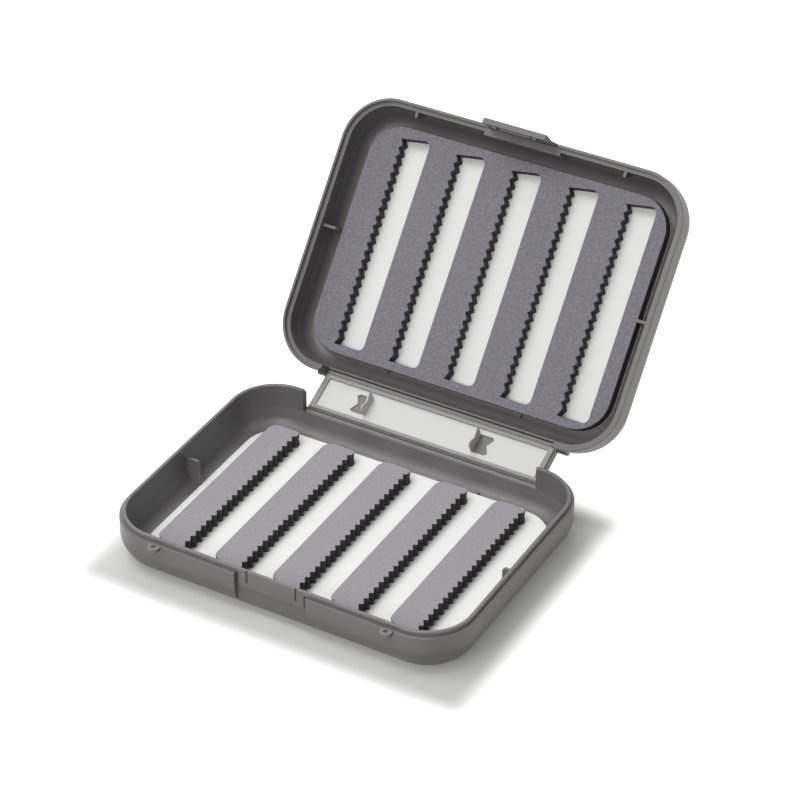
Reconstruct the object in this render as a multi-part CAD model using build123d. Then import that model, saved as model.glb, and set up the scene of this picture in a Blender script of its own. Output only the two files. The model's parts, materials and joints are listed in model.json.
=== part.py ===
from build123d import *
import math
import os

# A pocket fly box in moulded ABS: two shallow trays joined by a spine that
# turns on two parallel axes, so that the box opens flat. Millimetres, +Z up.
# X runs along the hinge, the front is at -Y, the origin is the centre of the
# base's underside, and the box is drawn part open.

# ---- overall case -----------------------------------------------------------
case_length = 130.0
case_width = 98.0
corner_radius = 17.6        # plan corners of both trays
tray_height = 16.0          # underside to parting plane
bottom_radius = 10.2        # rolled outer edge of each tray
wall = 2.45
floor_thickness = 2.0
crease_depth = 7.0          # straight inner wall below the parting plane
draft_angle = 12.0          # slope of the inner wall below the crease
floor_fillet = 4.4
edge_break = 0.25           # small chamfer on rims
rim_gap = 0.15              # between the rims when shut

# ---- rim --------------------------------------------------------------------
lip_setback = 1.1           # base lip stands this far in from the outer face
lip_height = 1.5
rim_clearance = 0.15        # lid rabbet to base lip

# ---- spine and hinge --------------------------------------------------------
axis_depth = 8.33           # hinge axes from the parting plane
axis_inset = 0.5            # hinge axes in from the rear face
pin_radius = 0.5
pin_length = 7.6
pin_running_gap = 0.05
pin_seat_gap = 0.01
pin_end_gap = 0.3
barrel_radius = 1.25
barrel_gap = 0.2
lug_radius = 1.6
lug_length = 3.5
notch_half = 45.1           # half the width of the gap in each rear wall
spine_side_gap = 0.35
spine_inner = 2.0           # axis to the spine's inner face
spine_shoulder = 0.9        # solid spine starts this far from each axis
frame_thickness = 0.7
frame_margin = 1.4          # axis to the frame's long edge
frame_band = 1.35           # width of the frame's long bars
frame_end_band = 1.9        # width of the frame's short bars
plate_thickness = 0.5
plate_lap = 0.4             # plate edge held under the frame
plate_gap = 0.1
frame_end_gap = 0.4         # frame stops this far short of the spine's ends
lip_frame_gap = 0.22

# ---- bent tabs on the plate -------------------------------------------------
tab_width = 7.4             # along the fold
tab_height = 5.5
tab_notch = 1.6             # depth of the fishtail notch
tab_bevel = 0.9
tab_left_fold = -24.6
tab_right_fold = 17.8

# ---- open position ----------------------------------------------------------
spine_open = 65.5           # degrees from shut, as drawn
lid_open = 63.6             # degrees between lid and spine, as drawn

# ---- foam -------------------------------------------------------------------
pad_margin = 0.25           # pad edge to the start of the floor's fillet
pad_thickness = 1.0
pad_relief_half = 13.0      # shallow cut in the middle of each long edge
pad_relief = 0.6
foam_thickness = 4.8
tooth_pitch = 3.19
tooth_depth = 1.6
foam_end_margin = 3.0       # least foam past the ends of the rows
row_count = 5
strip_width = 11.4
strip_left_margin = 5.9     # first strip to the pad's left edge
strip_right_margin = 10.1   # last strip's teeth to the pad's right edge
strip_radius = 3.4
slot_width = 11.1
slot_right_margin = 5.6     # last slot to the panel's right edge
slot_radius = 2.2

# ---- ribs and nubs inside the trays -----------------------------------------
rib_thickness = 1.0
rib_top_depth = 3.4         # side rib top below the parting plane
rib_pad_gap = 0.3
front_rib_x = 40.0
front_rib_reach = 2.0
front_rib_top = 1.9         # below the parting plane
front_rib_height = 7.0
nub_x = 26.0
nub_radius = 0.5
nub_height = 1.6

# ---- lanyard eyelets --------------------------------------------------------
eyelet_x = 42.9
eyelet_out = 0.95           # hole centre in front of the front face
eyelet_radius = 2.0
eyelet_hole = 0.8
eyelet_thickness = 1.2
eyelet_drop = 0.1           # below the parting plane

# ---- latch ------------------------------------------------------------------
recess_half = 13.1
catch_drop = 5.1            # catch bar's lower edge below the parting plane
undercut_depth = 1.9        # pocket under the bar, from the front face
catch_end_gap = 1.1
catch_groove_x = 9.05
catch_groove_width = 0.7
catch_groove_depth = 0.6
catch_groove_low = 3.3      # grooves end this far below the parting plane
catch_boss_depth = 1.0      # base wall thickened behind the recess
latch_half = 12.9           # at the pin
latch_tip_half = 11.8
latch_gap = 0.15
latch_axis_height = 5.0     # pin above the lid's rim plane
latch_barrel = 1.0
latch_reach = 9.0           # latch tip past the rim plane
latch_tip = 1.9             # thickness of the finger lip
latch_proud = 0.9           # finger lip in front of the front face
lid_recess_height = 7.2
latch_boss_depth = 1.2      # lid wall thickened behind the recess
latch_boss_margin = 1.4
hook_reach = 0.75
hook_height = 1.8
hook_half = 6.0
hook_post_x = 7.6
hook_post_half = 0.9
latch_pin_bite = 1.6

# ---- worked out from the sizes above ----------------------------------------
half_length = case_length / 2
half_width = case_width / 2
front_y = -half_width
axis_y = half_width - axis_inset
base_axis_z = tray_height - axis_depth
spine_pitch = 2 * axis_depth + rim_gap
lid_axis_z = base_axis_z + spine_pitch
closed_height = 2 * tray_height + rim_gap
spine_half = notch_half - spine_side_gap
lip_thickness = wall - lip_setback
pad_top = floor_thickness + pad_thickness
foam_top = pad_top + foam_thickness
crease_z = tray_height - crease_depth
draft_run = (crease_z - floor_thickness) * math.tan(math.radians(draft_angle))
fillet_run = floor_fillet * math.tan(math.radians(45 - draft_angle / 2))
floor_inset = wall + draft_run + fillet_run
pad_length = case_length - 2 * (floor_inset + pad_margin)
pad_width = case_width - 2 * (floor_inset + pad_margin)
pad_corner = corner_radius - floor_inset - pad_margin
row_pitch = (pad_length - strip_left_margin - strip_right_margin
             - strip_width) / (row_count - 1)
tooth_count = int((pad_width - 2 * foam_end_margin) / tooth_pitch)
row_length = tooth_count * tooth_pitch
strip_first = strip_left_margin - pad_length / 2
slot_first = (pad_length / 2 - slot_right_margin - slot_width
              - (row_count - 1) * row_pitch)
frame_back = spine_inner - frame_thickness
plate_back = frame_back - plate_thickness


def slab(length, width, radius, low, high):
    """Rounded rectangle between two heights."""
    outline = Pos(0, 0, low) * RectangleRounded(length, width, radius)
    return extrude(outline, high - low)


def block(x0, x1, y0, y1, z0, z1):
    """Box given by its lowest and highest corners."""
    size = Box(x1 - x0, y1 - y0, z1 - z0)
    return Pos((x0 + x1) / 2, (y0 + y1) / 2, (z0 + z1) / 2) * size


def rod(radius, x0, x1, y, z):
    """Round bar parallel to the hinge."""
    bar = Rot(0, 90, 0) * Cylinder(radius, x1 - x0)
    return Pos((x0 + x1) / 2, y, z) * bar


def ring(inset_out, inset_in, low, high):
    """Frame that follows the case outline between two insets."""
    outer = slab(case_length - 2 * inset_out, case_width - 2 * inset_out,
                 corner_radius - inset_out, low, high)
    inner = slab(case_length - 2 * inset_in, case_width - 2 * inset_in,
                 corner_radius - inset_in, low - 1, high + 1)
    return outer - inner


# ---- trays ------------------------------------------------------------------
def tray_outside():
    """Solid tray form with its rolled lower edge."""
    form = slab(case_length, case_width, corner_radius, 0, tray_height)
    form = fillet(form.faces().sort_by(Axis.Z)[0].edges(), bottom_radius)
    return chamfer(form.faces().sort_by(Axis.Z)[-1].edges(), edge_break)


def tray_inside():
    """Space inside a tray: straight wall, drafted wall, filleted floor."""
    length = case_length - 2 * wall
    width = case_width - 2 * wall
    radius = corner_radius - wall
    upper = slab(length, width, radius, crease_z, tray_height + 5)
    mouth = Pos(0, 0, crease_z) * RectangleRounded(length, width, radius)
    lower = extrude(mouth, floor_thickness - crease_z, taper=draft_angle)
    edges = lower.faces().sort_by(Axis.Z)[0].edges()
    return upper + fillet(edges, floor_fillet)


def side_rib(sign):
    """Upright rib in the middle of a side wall, which also locates the pad."""
    inner = pad_length / 2 + rib_pad_gap
    x0, x1 = sorted((sign * inner, sign * (half_length - wall / 2)))
    rib = block(x0, x1, -rib_thickness / 2, rib_thickness / 2,
                floor_thickness / 2, tray_height - rib_top_depth)
    top = rib.edges().filter_by(Axis.Y).sort_by(Axis.Z)[-2:]
    return fillet(top.sort_by(lambda edge: abs(edge.center().X))[0],
                  rib_thickness)


def front_rib(x):
    """Small gusset high on the front wall."""
    root = front_y + wall / 2
    reach = front_y + wall + front_rib_reach
    top = tray_height - front_rib_top
    outline = Polygon((root, top), (reach, top), (reach, top - 1.0),
                      (front_y + wall, top - front_rib_height),
                      (root, top - front_rib_height), align=None)
    plane = Plane(origin=(x - rib_thickness / 2, 0, 0), x_dir=(0, 1, 0),
                  z_dir=(1, 0, 0))
    return extrude(plane * outline, rib_thickness)


def pad_nub(x):
    """Round nub on the floor behind the pad."""
    y = pad_width / 2 + nub_radius + 0.2
    low = floor_thickness / 2
    high = floor_thickness + nub_height
    return Pos(x, y, (low + high) / 2) * Cylinder(nub_radius, high - low)


def hinge_notch():
    """Gap in the rear wall, with a trough for the spine's barrel."""
    lip_top = base_axis_z + frame_margin - lip_frame_gap
    trough = barrel_radius + barrel_gap
    far = half_width + 5
    above = block(-notch_half, notch_half, half_width - wall - 3, far,
                  lip_top, tray_height + 5)
    behind = block(-notch_half, notch_half, axis_y - trough, far,
                   base_axis_z, lip_top + 1)
    groove = rod(trough, -notch_half, notch_half, axis_y, base_axis_z)
    return above + behind + groove


def hinge_lug(sign):
    """Boss at one end of the notch that carries a hinge pin."""
    x0, x1 = sorted((sign * notch_half, sign * (notch_half + lug_length)))
    round_part = rod(lug_radius, x0, x1, axis_y, base_axis_z)
    web = block(x0, x1, half_width - wall / 2, axis_y,
                base_axis_z - lug_radius, base_axis_z + lug_radius)
    return round_part + web


def pin_bore(sign):
    """Hole for a hinge pin through its lug."""
    x0, x1 = sorted((sign * (notch_half - 1),
                     sign * (notch_half + lug_length + 1)))
    return rod(pin_radius + pin_seat_gap, x0, x1, axis_y, base_axis_z)


def plain_tray(extra):
    """What both trays share, and the extra inside details of one of them."""
    outside = tray_outside()
    details = extra
    for sign in (-1, 1):
        details.append(side_rib(sign))
        details.append(pad_nub(sign * nub_x))
    tray = outside - tray_inside()
    for detail in details:
        tray += outside & detail
    return tray


def catch_recess():
    """Front recess with the catch bar, open below into a deeper pocket."""
    y_bar = front_y + lip_setback
    y_pocket = front_y + undercut_depth
    bar_low = tray_height - catch_drop
    high = tray_height + lip_height + 1
    cut = block(-recess_half, recess_half, front_y - 5, y_bar, -1, high)
    cut += block(-recess_half, recess_half, front_y - 5, y_pocket,
                 -1, bar_low)
    for sign in (-1, 1):
        x0, x1 = sorted((sign * (recess_half - catch_end_gap),
                         sign * recess_half))
        cut += block(x0, x1, front_y - 5, y_pocket, -1, tray_height)
        x = sign * catch_groove_x
        cut += block(x - catch_groove_width / 2, x + catch_groove_width / 2,
                     front_y - 5, y_bar + catch_groove_depth,
                     tray_height - catch_groove_low, high)
    return cut


def eyelet(x):
    """Flat ring on the front rim for a lanyard."""
    y = front_y - eyelet_out
    top = tray_height - eyelet_drop
    low = top - eyelet_thickness
    disc = Pos(x, y, (low + top) / 2) * Cylinder(eyelet_radius,
                                                eyelet_thickness)
    neck = block(x - eyelet_radius, x + eyelet_radius, y,
                 front_y + lip_setback, low, top)
    return disc + neck


def eyelet_bore(x):
    y = front_y - eyelet_out
    return Pos(x, y, tray_height) * Cylinder(eyelet_hole, 8)


def catch_boss():
    """Thicker wall behind the catch recess."""
    half = recess_half + latch_boss_margin
    return block(-half, half, front_y + lip_setback,
                 front_y + wall + catch_boss_depth,
                 floor_thickness / 2, tray_height - lip_height)


def base_lip():
    """Raised lip that the lid's rabbet fits over."""
    lip = ring(lip_setback, wall, tray_height - 0.5,
               tray_height + lip_height)
    return chamfer(lip.faces().sort_by(Axis.Z)[-1].edges(), edge_break)


def base_shell():
    shell = plain_tray([catch_boss()]) + base_lip()
    shell -= hinge_notch()
    shell -= catch_recess()
    for sign in (-1, 1):
        shell += hinge_lug(sign)
        shell -= pin_bore(sign)
        shell += eyelet(sign * eyelet_x)
        shell -= eyelet_bore(sign * eyelet_x)
    return shell


def rabbet():
    """Step in the lid's rim that takes the base lip."""
    depth = lip_height + rim_clearance
    return ring(lip_setback - rim_clearance, wall + 1,
                tray_height - depth + rim_gap, tray_height + 1)


def latch_boss():
    """Thicker wall behind the latch recess."""
    half = recess_half + latch_boss_margin
    top = tray_height - lip_height - 2 * rim_clearance
    return block(-half, half, front_y + lip_setback,
                 front_y + wall + latch_boss_depth,
                 tray_height - lid_recess_height - 2, top)


def latch_recess():
    """Pocket in the lid's front wall for the latch and its barrel."""
    deep = 2 * latch_barrel + 2 * latch_gap
    low = tray_height - lid_recess_height
    step = tray_height - latch_axis_height + latch_barrel + latch_gap
    face = block(-recess_half, recess_half, front_y - 5,
                 front_y + lip_setback, low, tray_height + 1)
    barrel_space = block(-recess_half, recess_half, front_y - 5,
                         front_y + deep, low, step)
    return face + barrel_space


def latch_pin_bore():
    half = recess_half + latch_pin_bite + latch_gap
    return rod(pin_radius + pin_seat_gap, -half, half,
               front_y + latch_barrel, tray_height - latch_axis_height)


def lid_tray():
    """Lid drawn open side up, like the base."""
    ribs = [front_rib(sign * front_rib_x) for sign in (-1, 1)]
    shell = plain_tray(ribs + [latch_boss()])
    shell -= rabbet()
    shell -= hinge_notch()
    shell -= latch_recess()
    shell -= latch_pin_bore()
    for sign in (-1, 1):
        shell += hinge_lug(sign)
        shell -= pin_bore(sign)
    return shell


# ---- foam -------------------------------------------------------------------
def backing_pad():
    """White pad on the floor of each tray."""
    return slab(pad_length, pad_width, pad_corner, floor_thickness,
                pad_top) - pad_reliefs()


def pad_reliefs():
    """Shallow cuts in the middle of both long edges of pad and panel."""
    reach = pad_width / 2
    half = pad_relief_half
    cut = block(-half, half, reach - pad_relief, reach + pad_relief,
                0, foam_top + 1)
    return cut + mirror(cut, about=Plane.XZ)


def saw_edge(x_root, x_tip):
    """Points of a toothed edge that runs the length of a row towards +Y."""
    points = [(x_root, -row_length / 2)]
    for tooth in range(tooth_count):
        y = tooth * tooth_pitch - row_length / 2
        points.append((x_tip, y + tooth_pitch / 2))
        points.append((x_root, y + tooth_pitch))
    return points


def foam_strip(row):
    """One strip of the base: straight left edge, toothed right edge."""
    left = strip_first + row * row_pitch
    tip = left + strip_width
    root = tip - tooth_depth
    end = row_length / 2
    points = [(left, -end)] + saw_edge(root, tip)
    points += [(left, end)]
    face = make_face(Polyline(points, close=True))
    face = fillet(face.vertices().sort_by(Axis.X)[:2], strip_radius)
    return extrude(Pos(0, 0, pad_top) * face, foam_thickness)


def lid_slot(row):
    """One slot of the lid's panel: toothed left edge, straight right edge."""
    tip = slot_first + row * row_pitch
    right = tip + slot_width
    end = row_length / 2
    points = [(right, -end)] + saw_edge(tip + tooth_depth, tip)
    points += [(right, end)]
    face = make_face(Polyline(points, close=True))
    return fillet(face.vertices().sort_by(Axis.X)[-2:], slot_radius)


def foam_panel():
    """The lid's foam: one panel with five slots."""
    outline = RectangleRounded(pad_length, pad_width, pad_corner)
    for row in range(row_count):
        outline -= lid_slot(row)
    panel = extrude(Pos(0, 0, pad_top) * outline, foam_thickness)
    return panel - pad_reliefs()


# ---- spine, drawn shut and upright ------------------------------------------
def spine_body():
    """Outer moulding: a flat web with a barrel along each long edge."""
    web = block(-spine_half, spine_half, axis_y - frame_back,
                axis_y + barrel_radius, base_axis_z + spine_shoulder,
                lid_axis_z - spine_shoulder)
    pocket_half = spine_half - frame_end_gap - frame_end_band \
        + plate_lap + plate_gap
    reach = frame_margin + frame_band - plate_lap - plate_gap
    web -= block(-pocket_half, pocket_half, axis_y - frame_back - 1,
                 axis_y - plate_back, base_axis_z + reach,
                 lid_axis_z - reach)
    depth = pin_length - lug_length - spine_side_gap + pin_end_gap
    for z in (base_axis_z, lid_axis_z):
        web += rod(barrel_radius, -spine_half, spine_half, axis_y, z)
        for sign in (-1, 1):
            x0, x1 = sorted((sign * (spine_half - depth),
                             sign * (spine_half + 1)))
            web -= rod(pin_radius + pin_running_gap, x0, x1, axis_y, z)
    return web


def spine_frame():
    """Inner bezel that holds the plate."""
    half = spine_half - frame_end_gap
    low = base_axis_z + frame_margin
    high = lid_axis_z - frame_margin
    y0 = axis_y - spine_inner
    y1 = axis_y - frame_back
    frame = block(-half, half, y0, y1, low, high)
    frame = chamfer(frame.faces().sort_by(Axis.Y)[0].edges(), edge_break)
    return frame - block(-half + frame_end_band, half - frame_end_band,
                         y0 - 1, y1 + 1, low + frame_band, high - frame_band)


def fishtail(start, away, length):
    """Fishtail outline, given as distance from the fold and height."""
    mid = (base_axis_z + lid_axis_z) / 2
    half = tab_width / 2
    far = start + away * length
    return [(start, mid - half), (far - away * tab_bevel, mid - half),
            (far, mid - half + tab_bevel), (far - away * tab_notch, mid),
            (far, mid + half - tab_bevel),
            (far - away * tab_bevel, mid + half), (start, mid + half)]


def outline_on(plane, points):
    return plane * make_face(Polyline(points, close=True))


def spine_plate():
    """Thin pale plate with two tabs bent up out of it."""
    half = spine_half - frame_end_gap - frame_end_band + plate_lap
    reach = frame_margin + frame_band - plate_lap
    front = axis_y - frame_back
    back = axis_y - plate_back
    plate = block(-half, half, front, back, base_axis_z + reach,
                  lid_axis_z - reach)
    for fold_x, away in ((tab_left_fold, -1), (tab_right_fold, 1)):
        across = Plane(origin=(0, back + 1, 0), x_dir=(1, 0, 0),
                       z_dir=(0, -1, 0))
        hole = outline_on(across, fishtail(fold_x, away, tab_height))
        plate -= extrude(hole, plate_thickness + 2)
        along = Plane(origin=(fold_x, 0, 0), x_dir=(0, 1, 0),
                      z_dir=(1, 0, 0))
        tab = outline_on(along, fishtail(back, -1, tab_height))
        plate += extrude(tab, -away * plate_thickness)
    return plate


# ---- pins and latch, drawn shut ---------------------------------------------
def hinge_pin(sign, z):
    """Steel pin, flush with the outer end of its lug."""
    outer = notch_half + lug_length
    x0, x1 = sorted((sign * (outer - pin_length), sign * outer))
    return rod(pin_radius, x0, x1, axis_y, z)


def latch_profile():
    """Section of the latch flap: flush at the pin, proud at the tip."""
    rim = tray_height + rim_gap
    tip = rim - latch_reach
    inner = front_y + lip_setback - latch_gap
    lip_outer = front_y - latch_proud
    top = rim + latch_axis_height
    return [(front_y, top), (front_y, tip + 5.0), (lip_outer, tip + 1.2),
            (lip_outer, tip), (lip_outer + latch_tip, tip),
            (inner, tip + 1.0), (inner, top)]


def latch_front():
    """Latch seen from the front, a little narrower at the tip."""
    rim = tray_height + rim_gap
    tip = rim - latch_reach
    top = rim + latch_axis_height
    return [(-latch_half, top), (-latch_half, rim), (-latch_tip_half, tip),
            (latch_tip_half, tip), (latch_half, rim), (latch_half, top)]


def latch():
    """Snap latch: flap, barrel and hook."""
    rim = tray_height + rim_gap
    side = Plane(origin=(-latch_half, 0, 0), x_dir=(0, 1, 0),
                 z_dir=(1, 0, 0))
    across = Plane(origin=(0, 0, 0), x_dir=(1, 0, 0), z_dir=(0, -1, 0))
    flap = extrude(outline_on(side, latch_profile()), 2 * latch_half)
    flap &= extrude(outline_on(across, latch_front()), case_width)
    axis_z = rim + latch_axis_height
    y = front_y + latch_barrel
    flap += rod(latch_barrel, -latch_half, latch_half, y, axis_z)
    hook_top = tray_height - catch_drop - latch_gap
    root = front_y + lip_setback - latch_gap - 0.3
    hook_in = root + 0.3 + hook_reach
    flap += block(-hook_half, hook_half, root, hook_in,
                  hook_top - hook_height, hook_top)
    for sign in (-1, 1):
        x = sign * hook_post_x
        flap += block(x - hook_post_half, x + hook_post_half, root,
                      hook_in, hook_top - hook_height - 0.6, hook_top)
    flap -= rod(pin_radius + pin_running_gap, -latch_half - 1,
                latch_half + 1, y, axis_z)
    return flap


def latch_pin():
    half = recess_half + latch_pin_bite
    z = tray_height + rim_gap + latch_axis_height
    return rod(pin_radius, -half, half, front_y + latch_barrel, z)


# ---- from the shut box to the drawn position --------------------------------
def shut_lid(piece):
    """Turn a piece drawn open side up into the shut lid's place."""
    plane = Plane.XY.offset(closed_height / 2)
    return mirror(piece, about=plane)


def with_spine(piece):
    axis = Axis((0, axis_y, base_axis_z), (1, 0, 0))
    return piece.rotate(axis, -spine_open)


def with_lid(piece):
    axis = Axis((0, axis_y, lid_axis_z), (1, 0, 0))
    return with_spine(piece.rotate(axis, -lid_open))


def all_parts():
    parts = {"base_shell": base_shell(), "base_backing_pad": backing_pad()}
    for row in range(row_count):
        parts[f"base_foam_strip_{row + 1}"] = foam_strip(row)
    parts["base_hinge_pin_left"] = hinge_pin(-1, base_axis_z)
    parts["base_hinge_pin_right"] = hinge_pin(1, base_axis_z)
    parts["spine_body"] = with_spine(spine_body())
    parts["spine_frame"] = with_spine(spine_frame())
    parts["spine_plate"] = with_spine(spine_plate())
    parts["lid_shell"] = with_lid(shut_lid(lid_tray()))
    parts["lid_backing_pad"] = with_lid(shut_lid(backing_pad()))
    parts["lid_foam_panel"] = with_lid(shut_lid(foam_panel()))
    parts["lid_hinge_pin_left"] = with_lid(hinge_pin(-1, lid_axis_z))
    parts["lid_hinge_pin_right"] = with_lid(hinge_pin(1, lid_axis_z))
    parts["latch"] = with_lid(latch())
    parts["latch_pin"] = with_lid(latch_pin())
    return parts


os.makedirs("parts", exist_ok=True)
for name, piece in all_parts().items():
    export_step(piece, f"parts/{name}.step")
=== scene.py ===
import json
import math

import bmesh
import bpy
from mathutils import Matrix, Vector


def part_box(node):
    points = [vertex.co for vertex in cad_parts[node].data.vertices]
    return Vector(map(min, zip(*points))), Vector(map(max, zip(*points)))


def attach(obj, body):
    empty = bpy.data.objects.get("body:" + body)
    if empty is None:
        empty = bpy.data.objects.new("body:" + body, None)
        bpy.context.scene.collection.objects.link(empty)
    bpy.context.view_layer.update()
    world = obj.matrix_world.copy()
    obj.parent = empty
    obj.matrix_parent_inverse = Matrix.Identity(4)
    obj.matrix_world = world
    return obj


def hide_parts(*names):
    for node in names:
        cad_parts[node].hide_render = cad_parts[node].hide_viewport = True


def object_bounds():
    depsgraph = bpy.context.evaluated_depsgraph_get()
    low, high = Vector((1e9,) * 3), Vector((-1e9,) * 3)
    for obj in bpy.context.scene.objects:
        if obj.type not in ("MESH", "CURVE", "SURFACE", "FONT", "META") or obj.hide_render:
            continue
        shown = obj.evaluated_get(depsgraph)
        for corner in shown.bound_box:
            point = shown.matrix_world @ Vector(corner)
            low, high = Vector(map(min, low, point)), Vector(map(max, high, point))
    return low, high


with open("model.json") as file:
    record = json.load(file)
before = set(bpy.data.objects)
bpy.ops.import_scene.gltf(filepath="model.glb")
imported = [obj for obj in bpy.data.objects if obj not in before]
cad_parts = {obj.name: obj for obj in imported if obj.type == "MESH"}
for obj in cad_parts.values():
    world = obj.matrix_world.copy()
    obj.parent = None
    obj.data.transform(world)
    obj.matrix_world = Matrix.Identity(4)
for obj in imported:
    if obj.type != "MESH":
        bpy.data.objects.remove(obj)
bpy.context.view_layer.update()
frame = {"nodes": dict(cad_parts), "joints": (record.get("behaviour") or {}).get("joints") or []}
MM = 0.001


# ---- camera ------------------------------------------------------------------
# A long lens from the right of the box's front, well above it, as a catalogue
# picture is taken. The lens and the distance give the photograph's perspective.
view_azimuth = math.radians(29.44)
view_elevation = math.radians(35.21)
view_roll = math.radians(0.21)
view_distance = 965.1 * MM
looked_at = Vector((19.5, 0.0, 64.7)) * MM
lens_length = 137.9
sensor_width = 36.0
nearest_seen = 0.05
farthest_seen = 20.0


def photographer():
    level = math.cos(view_elevation)
    back = Vector((math.sin(view_azimuth) * level, -math.cos(view_azimuth) * level,
                   math.sin(view_elevation)))
    right = (-back).cross(Vector((0, 0, 1))).normalized()
    up = right.cross(-back)
    turned_right = right * math.cos(view_roll) + up * math.sin(view_roll)
    turned_up = up * math.cos(view_roll) - right * math.sin(view_roll)
    camera = bpy.data.objects.new("camera", bpy.data.cameras.new("camera"))
    bpy.context.scene.collection.objects.link(camera)
    camera.data.lens = lens_length
    camera.data.sensor_width = sensor_width
    camera.data.clip_start = nearest_seen
    camera.data.clip_end = farthest_seen
    turn = Matrix((turned_right, turned_up, back)).transposed().to_4x4()
    camera.matrix_world = Matrix.Translation(looked_at + back * view_distance) @ turn
    bpy.context.scene.camera = camera


photographer()


# ---- floor and light ---------------------------------------------------------
# A white sweep of card under plain soft studio light. The card is lifted to
# white where the camera or a gloss sees it, and less so close to the base: this
# keeps the box's own shadow there and paints a soft shadow all round the base.
card_half = 3.0
card_white = "#c6c6c3"
# Painted shadow: the card's lift close to the base, kept low so the card is darker there.
near_lift_painted_shadow = 0.13
far_lift = 1.1
shadow_reach = 15 * MM
shadow_shift = (2 * MM, -1 * MM, 0.0)
plain_white = (1.0, 1.0, 1.0, 1.0)
room_level = 0.14
seen_level = 1.0
box_middle = (0.0, 0.03, 0.05)
# Each softbox has a place and a size in metres, and a power in watts.
softboxes = (("key", (-0.3, -0.35, 1.1), (0.8, 0.6), 6.6),
             ("back", (-0.45, 0.6, 1.0), (0.7, 0.5), 4.5),
             ("front", (0.1, -0.95, 0.75), (0.7, 0.5), 5.4))


def linear(hex_colour):
    """sRGB hex to the linear values that a shader takes."""
    values = []
    for i in (1, 3, 5):
        share = int(hex_colour[i:i + 2], 16) / 255
        values.append(share / 12.92 if share <= 0.04045
                      else ((share + 0.055) / 1.055) ** 2.4)
    return (*values, 1.0)


def node(tree, kind, settings=None, **links):
    """Adds a node, sets its sockets and properties, and links what is given."""
    made = tree.nodes.new(kind)
    for key, value in (settings or {}).items():
        if key in made.inputs:
            made.inputs[key].default_value = value
        else:
            setattr(made, key, value)
    for key, source in links.items():
        target = made.inputs[key.replace("_", " ")]
        tree.links.new(source, target)
    return made


def joined(tree, kind, operation, first, second):
    """A maths node of two inputs, each a socket to link or a constant to set."""
    made = node(tree, kind, {"operation": operation})
    for socket, given in zip(made.inputs, (first, second)):
        if isinstance(given, bpy.types.NodeSocket):
            tree.links.new(given, socket)
        elif given is not None:
            socket.default_value = given
    return made.outputs[0]


def scalar(tree, operation, first, second):
    return joined(tree, "ShaderNodeMath", operation, first, second)


def vector(tree, operation, first, second=None):
    return joined(tree, "ShaderNodeVectorMath", operation, first, second)


def empty_material(name):
    """A material without nodes, and its node tree."""
    material = bpy.data.materials.new(name)
    material.use_nodes = True
    material.node_tree.nodes.clear()
    return material, material.node_tree


def own_place(tree):
    """Where a point lies on its piece, so that the finish moves with the piece."""
    return node(tree, "ShaderNodeTexCoord").outputs["Object"]


def seen_ray(tree):
    """1 where the camera, a gloss or a clear piece looks straight at a surface."""
    path = node(tree, "ShaderNodeLightPath").outputs
    gloss = scalar(tree, "MAXIMUM", path["Is Camera Ray"], path["Is Glossy Ray"])
    return scalar(tree, "MAXIMUM", gloss, path["Is Transmission Ray"])


def lift_with_painted_shadow(tree):
    """Painted shadow: a low lift under and beside the base, rising to far_lift where the painted
    shadow has faded.
    """
    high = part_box("base_shell")[1]
    moved = vector(tree, "SUBTRACT", own_place(tree), shadow_shift)
    past = vector(tree, "SUBTRACT", vector(tree, "ABSOLUTE", moved), (high.x, high.y, 0))
    outside = vector(tree, "MAXIMUM", past, (0, 0, 0))
    far = node(tree, "ShaderNodeVectorMath", {"operation": "LENGTH"})
    tree.links.new(outside, far.inputs[0])
    fade = node(tree, "ShaderNodeMapRange",
                {"interpolation_type": "SMOOTHSTEP", "From Max": shadow_reach,
                 "To Min": near_lift_painted_shadow, "To Max": far_lift},
                Value=far.outputs["Value"])
    return fade.outputs[0]


def white_card():
    material, tree = empty_material("matt white card")
    paper = node(tree, "ShaderNodeBsdfDiffuse", {"Color": linear(card_white)})
    level = scalar(tree, "MULTIPLY", seen_ray(tree), lift_with_painted_shadow(tree))
    lift = node(tree, "ShaderNodeEmission", Strength=level)
    both = node(tree, "ShaderNodeAddShader")
    tree.links.new(paper.outputs[0], both.inputs[0])
    tree.links.new(lift.outputs[0], both.inputs[1])
    node(tree, "ShaderNodeOutputMaterial", Surface=both.outputs[0])
    return material


def lay_floor():
    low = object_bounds()[0].z
    mesh = bpy.data.meshes.new("floor")
    corners = [(x * card_half, y * card_half, low)
               for x, y in ((-1, -1), (1, -1), (1, 1), (-1, 1))]
    mesh.from_pydata(corners, [], [(0, 1, 2, 3)])
    floor = bpy.data.objects.new("floor", mesh)
    bpy.context.scene.collection.objects.link(floor)
    floor.data.materials.append(white_card())


def light_room():
    """A dim even room, which the camera and a gloss see as white."""
    world = bpy.data.worlds.new("studio")
    bpy.context.scene.world = world
    world.use_nodes = True
    tree = world.node_tree
    tree.nodes.clear()
    room, seen = (node(tree, "ShaderNodeBackground",
                       {"Color": plain_white, "Strength": strength})
                  for strength in (room_level, seen_level))
    pick = node(tree, "ShaderNodeMixShader", Fac=seen_ray(tree))
    tree.links.new(room.outputs[0], pick.inputs[1])
    tree.links.new(seen.outputs[0], pick.inputs[2])
    node(tree, "ShaderNodeOutputWorld", Surface=pick.outputs[0])


def softbox(name, place, size, power):
    lamp = bpy.data.lights.new(name, "AREA")
    lamp.shape = "RECTANGLE"
    lamp.size, lamp.size_y = size
    lamp.energy = power
    made = bpy.data.objects.new(name, lamp)
    bpy.context.scene.collection.objects.link(made)
    made.location = place
    made.rotation_mode = "QUATERNION"
    aim = Vector(box_middle) - Vector(place)
    made.rotation_quaternion = aim.to_track_quat("-Z", "Y")


lay_floor()
light_room()
for name, place, size, power in softboxes:
    softbox(name, place, size, power)


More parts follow.
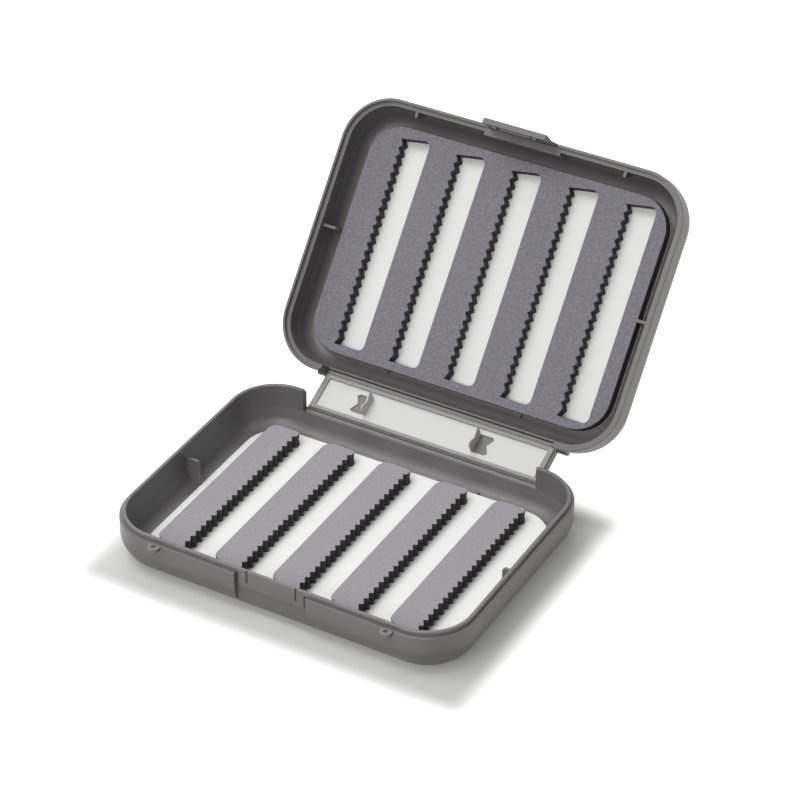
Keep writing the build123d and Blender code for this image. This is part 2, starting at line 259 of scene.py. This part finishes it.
# ---- moulded trays, latch and spine -------------------------------------------
# The trays, the spine and the latch are injection moulded ABS in dark grey. The
# mould is spark eroded, so the faces are an even satin with a fine grain.
case_grey = "#6f6d6d"
case_grey_deep = "#696767"
# Painted light: the spine frame is the trays' ABS, coloured lighter for the top light it
# catches.
spine_grey_painted_light = "#8c8c8a"
case_roughness = 0.42
spine_roughness = 0.4
abs_ior = 1.53
flow_size = 18 * MM
spark_grain = 0.35 * MM
spark_depth = 0.03 * MM
spark_strength = 0.12


def noise(tree, place, size, detail=2.0):
    """A soft random pattern whose features are about size across."""
    made = node(tree, "ShaderNodeTexNoise",
                {"Scale": 1 / size, "Detail": detail}, Vector=place)
    return made.outputs["Fac"]


def two_tone(tree, share, first, second):
    """A colour that share takes from the first to the second."""
    tint = node(tree, "ShaderNodeMix", {"data_type": "RGBA"})
    factor, colour_a, colour_b, result = (tint.inputs["Factor"], tint.inputs[6],
                                          tint.inputs[7], tint.outputs[2])
    tree.links.new(share, factor)
    colour_a.default_value = linear(first)
    colour_b.default_value = linear(second)
    return result


def relief(tree, height, strength, depth):
    bump = node(tree, "ShaderNodeBump", {"Strength": strength, "Distance": depth},
                Height=height)
    return bump.outputs[0]


def skin(tree, settings, **links):
    made = node(tree, "ShaderNodeBsdfPrincipled", settings, **links)
    node(tree, "ShaderNodeOutputMaterial", Surface=made.outputs[0])


def moulded_abs(name, colour, second, roughness):
    """Satin ABS: slight flow variation, spark grain, no metallic glint."""
    material, tree = empty_material(name)
    place = own_place(tree)
    tint = two_tone(tree, noise(tree, place, flow_size, 3.0), colour, second)
    grain = relief(tree, noise(tree, place, spark_grain), spark_strength, spark_depth)
    skin(tree, {"Roughness": roughness, "IOR": abs_ior}, Base_Color=tint, Normal=grain)
    return material


def finish_node(name, material):
    piece = frame["nodes"][name]
    piece.data.materials.clear()
    piece.data.materials.append(material)


case_abs = moulded_abs("satin dark grey ABS", case_grey, case_grey_deep, case_roughness)
for name in ("base_shell", "lid_shell", "latch", "spine_body"):
    finish_node(name, case_abs)
# Painted light: the spine frame gets a lighter copy of the trays' ABS.
spine_abs_painted_light = moulded_abs("satin grey ABS painted light", spine_grey_painted_light, spine_grey_painted_light, spine_roughness)
finish_node("spine_frame", spine_abs_painted_light)


# ---- foam ----------------------------------------------------------------------
# Closed cell foam sheet, die cut and stuck down: a white pad on each floor, five
# toothed grey strips in the base and a grey panel with five toothed slots in the
# lid. The knife drags the foam, so its cut edges pull in at half height.
foam_top = "#a6a4aa"
foam_top_deep = "#96949b"
# Painted shade: the cut edges of the grey foam are coloured dark for the shade on them, not for
# a darker foam.
foam_cut_painted_shade = "#3a383b"
# Painted shade: the lid's panel is the same foam as the base strips, coloured darker for the
# light its tilted face loses.
panel_top_painted_shade = "#8a8890"
panel_top_deep_painted_shade = "#76737b"
pad_white = "#f7f7f6"
foam_roughness = 0.9
cell_size = 0.5 * MM
cell_depth = 0.08 * MM
cell_strength = 0.5
cloud_scale = 0.7 / cell_size
cloud_low, cloud_high = 0.35, 0.65
row_count = 5
tooth_pitch = 3.19 * MM
corner_steps = 8
pad_radius = 12.0 * MM
strip_tooth_count = 23
strip_tooth_depth = 1.4 * MM
strip_tooth_rise = 0.95 * MM
strip_plain_end = 2.7 * MM
strip_rear_radius = 3.4 * MM
strip_small_radius = 1.5 * MM
slot_pitch = 21.75 * MM
slot_wide = 11.1 * MM
slot_tooth_depth = 1.2 * MM
slot_tooth_rise = 2.0 * MM
slot_radius = 2.2 * MM
slot_right_margin = 5.6 * MM
slot_end_margin = 3.2 * MM
# Each ring is a share of the height, and how far in mm the edge is pulled in there.
foam_rings = ((0.0, 0.12), (0.06, 0.0), (0.25, 0.16), (0.5, 0.3), (0.75, 0.16),
              (0.94, 0.0), (0.985, 0.05), (1.0, 0.16))
pad_rings = ((0.0, 0.05), (0.3, 0.0), (0.8, 0.0), (1.0, 0.12))
# A corner that folds back more sharply than this stays where it is, and a sharp
# one is moved no further than if its two sides met at this cosine.
sharpest_fold = 0.3
sharpest_mitre = 0.6


def joint_axis(name):
    """Where a joint stands at rest, and its lower limit."""
    joint = next(joint for joint in frame["joints"] if joint["name"] == name)
    return Vector(joint["pos_m"]), math.radians(joint["range_deg"][0])


def lid_place():
    """Takes a tray drawn open side up to where the lid stands at rest."""
    spine, spine_low = joint_axis("spine_hinge")
    lid, lid_low = joint_axis("lid_hinge")
    middle = spine.z + (lid - spine).length / 2
    place = Matrix.Diagonal((1.0, 1.0, -1.0, 1.0))
    place = Matrix.Translation((0, 0, 2 * middle)) @ place
    for axis, low in ((spine, spine_low), (lid, lid_low)):
        turn = (Matrix.Translation(axis) @ Matrix.Rotation(low, 4, "X")
                @ Matrix.Translation(-axis))
        place = turn @ place
    return place


def flat_box(name, place):
    """Lowest and highest corner of a CAD node, taken back to a flat tray."""
    back = place.inverted()
    points = [back @ vertex.co for vertex in frame["nodes"][name].data.vertices]
    low = Vector([min(point[i] for point in points) for i in range(3)])
    high = Vector([max(point[i] for point in points) for i in range(3)])
    return low, high


def corner(x, y, radius, start):
    """Points of a rounded corner, a quarter turn anticlockwise from start."""
    angles = [math.radians(start + 90 * i / corner_steps)
              for i in range(corner_steps + 1)]
    return [Vector((x + radius * math.cos(angle), y + radius * math.sin(angle)))
            for angle in angles]


def teeth(root, tip, start, count, rise):
    """A saw edge that runs towards +Y; rise is from a root to the next tip."""
    points = []
    for i in range(count):
        y = start + i * tooth_pitch
        points.append(Vector((root, y)))
        points.append(Vector((tip, y + rise)))
    return points


def rounded(low, high, r):
    """A rectangle with four corners of radius r, anticlockwise."""
    return (corner(low.x + r, low.y + r, r, 180) + corner(high.x - r, low.y + r, r, 270)
            + corner(high.x - r, high.y - r, r, 0) + corner(low.x + r, high.y - r, r, 90))


def strip_outline(low, high):
    """One base strip: straight on its left, toothed on its right."""
    r, small = strip_rear_radius, strip_small_radius
    count = strip_tooth_count
    root = high.x - strip_tooth_depth
    start = high.y - strip_plain_end - strip_tooth_rise - (count - 1) * tooth_pitch
    return (corner(low.x + r, low.y + r, r, 180)
            + [Vector((root, low.y))]
            + teeth(root, high.x, start, count, strip_tooth_rise)
            + corner(high.x - small, high.y - small, small, 0)
            + corner(low.x + r, high.y - r, r, 90))


def slot_outline(left, low, high):
    """One slot of the lid's panel, clockwise, toothed on its left."""
    right, r = left + slot_wide, slot_radius
    count = int((high.y - low.y) / tooth_pitch)
    start = (low.y + high.y - count * tooth_pitch) / 2
    saw = teeth(left, left + slot_tooth_depth, start, count, slot_tooth_rise)
    loop = (corner(right - r, low.y + r, r, 270) + corner(right - r, high.y - r, r, 0)
            + [Vector((left, high.y))] + saw[::-1])
    return loop[::-1]


def pulled(loop, index, amount):
    """A corner of a loop, moved by amount towards the material on its left."""
    before = (loop[index] - loop[index - 1]).normalized()
    after = (loop[(index + 1) % len(loop)] - loop[index]).normalized()
    side = Vector((-before.y - after.y, before.x + after.x))
    if side.length < sharpest_fold:
        return loop[index].copy()
    side.normalize()
    reach = 1 / max(sharpest_mitre, side.dot(Vector((-before.y, before.x))))
    return loop[index] + side * amount * reach


def die_cut(name, loops, low, high, rings, materials, place=None):
    """A sheet piece between two heights, its edge drawn in ring by ring."""
    form = bmesh.new()
    levels = []
    for share, draw in rings:
        z = low + (high - low) * share
        levels.append([[form.verts.new((*pulled(loop, i, draw * MM), z))
                        for i in range(len(loop))] for loop in loops])
    for lower, upper in zip(levels, levels[1:]):
        for down, up in zip(lower, upper):
            for i in range(len(down)):
                face = form.faces.new((down[i - 1], down[i], up[i], up[i - 1]))
                face.material_index = 1
    for level in (levels[0], levels[-1]):
        rim = [form.edges.get((loop[i - 1], loop[i]))
               for loop in level for i in range(len(loop))]
        bmesh.ops.triangle_fill(form, use_beauty=True, edges=rim)
    if place:
        bmesh.ops.transform(form, matrix=place, verts=form.verts)
    bmesh.ops.recalc_face_normals(form, faces=form.faces)
    mesh = bpy.data.meshes.new(name)
    form.to_mesh(mesh)
    form.free()
    piece = bpy.data.objects.new(name, mesh)
    bpy.context.scene.collection.objects.link(piece)
    for material in materials:
        mesh.materials.append(material)
    return piece


def cell_foam(name, colour, second):
    """Skin of closed cells: each catches the light a little differently."""
    material, tree = empty_material(name)
    place = own_place(tree)
    cells = node(tree, "ShaderNodeTexVoronoi", {"Scale": 1 / cell_size}, Vector=place)
    cloud = noise(tree, place, 1 / cloud_scale, 3.0)
    spread = node(tree, "ShaderNodeMapRange",
                  {"From Min": cloud_low, "From Max": cloud_high}, Value=cloud)
    tint = two_tone(tree, spread.outputs[0], colour, second)
    pits = relief(tree, cells.outputs["Distance"], cell_strength, cell_depth)
    skin(tree, {"Roughness": foam_roughness}, Base_Color=tint, Normal=pits)
    return material


def lay(piece, body, cad_node):
    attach(piece, body)
    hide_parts(cad_node)


# Painted shade: the dark colour on the cut edges of the grey foam pieces.
painted_shade_cut_foam = cell_foam("painted shade on cut edge of grey foam", foam_cut_painted_shade, foam_cut_painted_shade)
strip_foam = (cell_foam("grey foam sheet", foam_top, foam_top_deep), painted_shade_cut_foam)
# Painted shade: the lid's panel takes the base strips' foam in a darker copy.
painted_shade_panel_foam = (cell_foam("grey foam panel painted shade", panel_top_painted_shade, panel_top_deep_painted_shade), painted_shade_cut_foam)
pad_foam = (cell_foam("white foam sheet", pad_white, pad_white),) * 2
lid_stand = lid_place()

for row in range(row_count):
    low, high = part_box(f"base_foam_strip_{row + 1}")
    strip = die_cut(f"base_strip_{row + 1}", [strip_outline(low, high)], low.z, high.z,
                    foam_rings, strip_foam)
    lay(strip, "base", f"base_foam_strip_{row + 1}")

low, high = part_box("base_backing_pad")
pad = die_cut("base_pad", [rounded(low, high, pad_radius)], low.z, high.z, pad_rings,
              pad_foam)
lay(pad, "base", "base_backing_pad")

low, high = flat_box("lid_backing_pad", lid_stand)
pad = die_cut("lid_pad", [rounded(low, high, pad_radius)], low.z, high.z, pad_rings,
              pad_foam, lid_stand)
lay(pad, "lid", "lid_backing_pad")

low, high = flat_box("lid_foam_panel", lid_stand)
loops = [rounded(low, high, pad_radius)]
slot_low = Vector((0, low.y + slot_end_margin))
slot_high = Vector((0, high.y - slot_end_margin))
for row in range(row_count):
    left = high.x - slot_right_margin - slot_wide - row * slot_pitch
    loops.append(slot_outline(left, slot_low, slot_high))
panel = die_cut("lid_panel", loops, low.z, high.z, foam_rings, painted_shade_panel_foam, lid_stand)
lay(panel, "lid", "lid_foam_panel")


# ---- spine plate ---------------------------------------------------------------
# Thin aluminium sheet, pressed and bead blasted, with two fishtail tabs bent up
# out of it. It is pale and even, with a soft sheen.
sheet_colour = "#c8c8c6"
sheet_metallic = 0.25
sheet_roughness = 0.62
grit_size = 0.25 * MM
grit_depth = 0.02 * MM
grit_strength = 0.1


def blasted_aluminium():
    material, tree = empty_material("bead blasted aluminium")
    grit = noise(tree, own_place(tree), grit_size)
    skin(tree, {"Base Color": linear(sheet_colour), "Metallic": sheet_metallic,
                "Roughness": sheet_roughness},
         Normal=relief(tree, grit, grit_strength, grit_depth))
    return material


finish_node("spine_plate", blasted_aluminium())


# ---- pins ----------------------------------------------------------------------
# Short lengths of drawn stainless wire, cut to length and pressed into the trays.
# The die leaves faint streaks, so some of the wire shines more than the rest.
wire_colour = "#c8c8c6"
streak_size = 0.4 * MM
smoothest_wire, roughest_wire = 0.22, 0.36


def drawn_steel():
    material, tree = empty_material("drawn stainless wire")
    streak = noise(tree, own_place(tree), streak_size)
    rough = node(tree, "ShaderNodeMapRange",
                 {"To Min": smoothest_wire, "To Max": roughest_wire}, Value=streak)
    skin(tree, {"Base Color": linear(wire_colour), "Metallic": 1.0},
         Roughness=rough.outputs[0])
    return material


wire = drawn_steel()
for name in ("base_hinge_pin_left", "base_hinge_pin_right", "lid_hinge_pin_left",
             "lid_hinge_pin_right", "latch_pin"):
    finish_node(name, wire)


# ---- end -----------------------------------------------------------------------
# Colours are shown as they are, with no film look.
bpy.context.scene.view_settings.view_transform = "Standard"
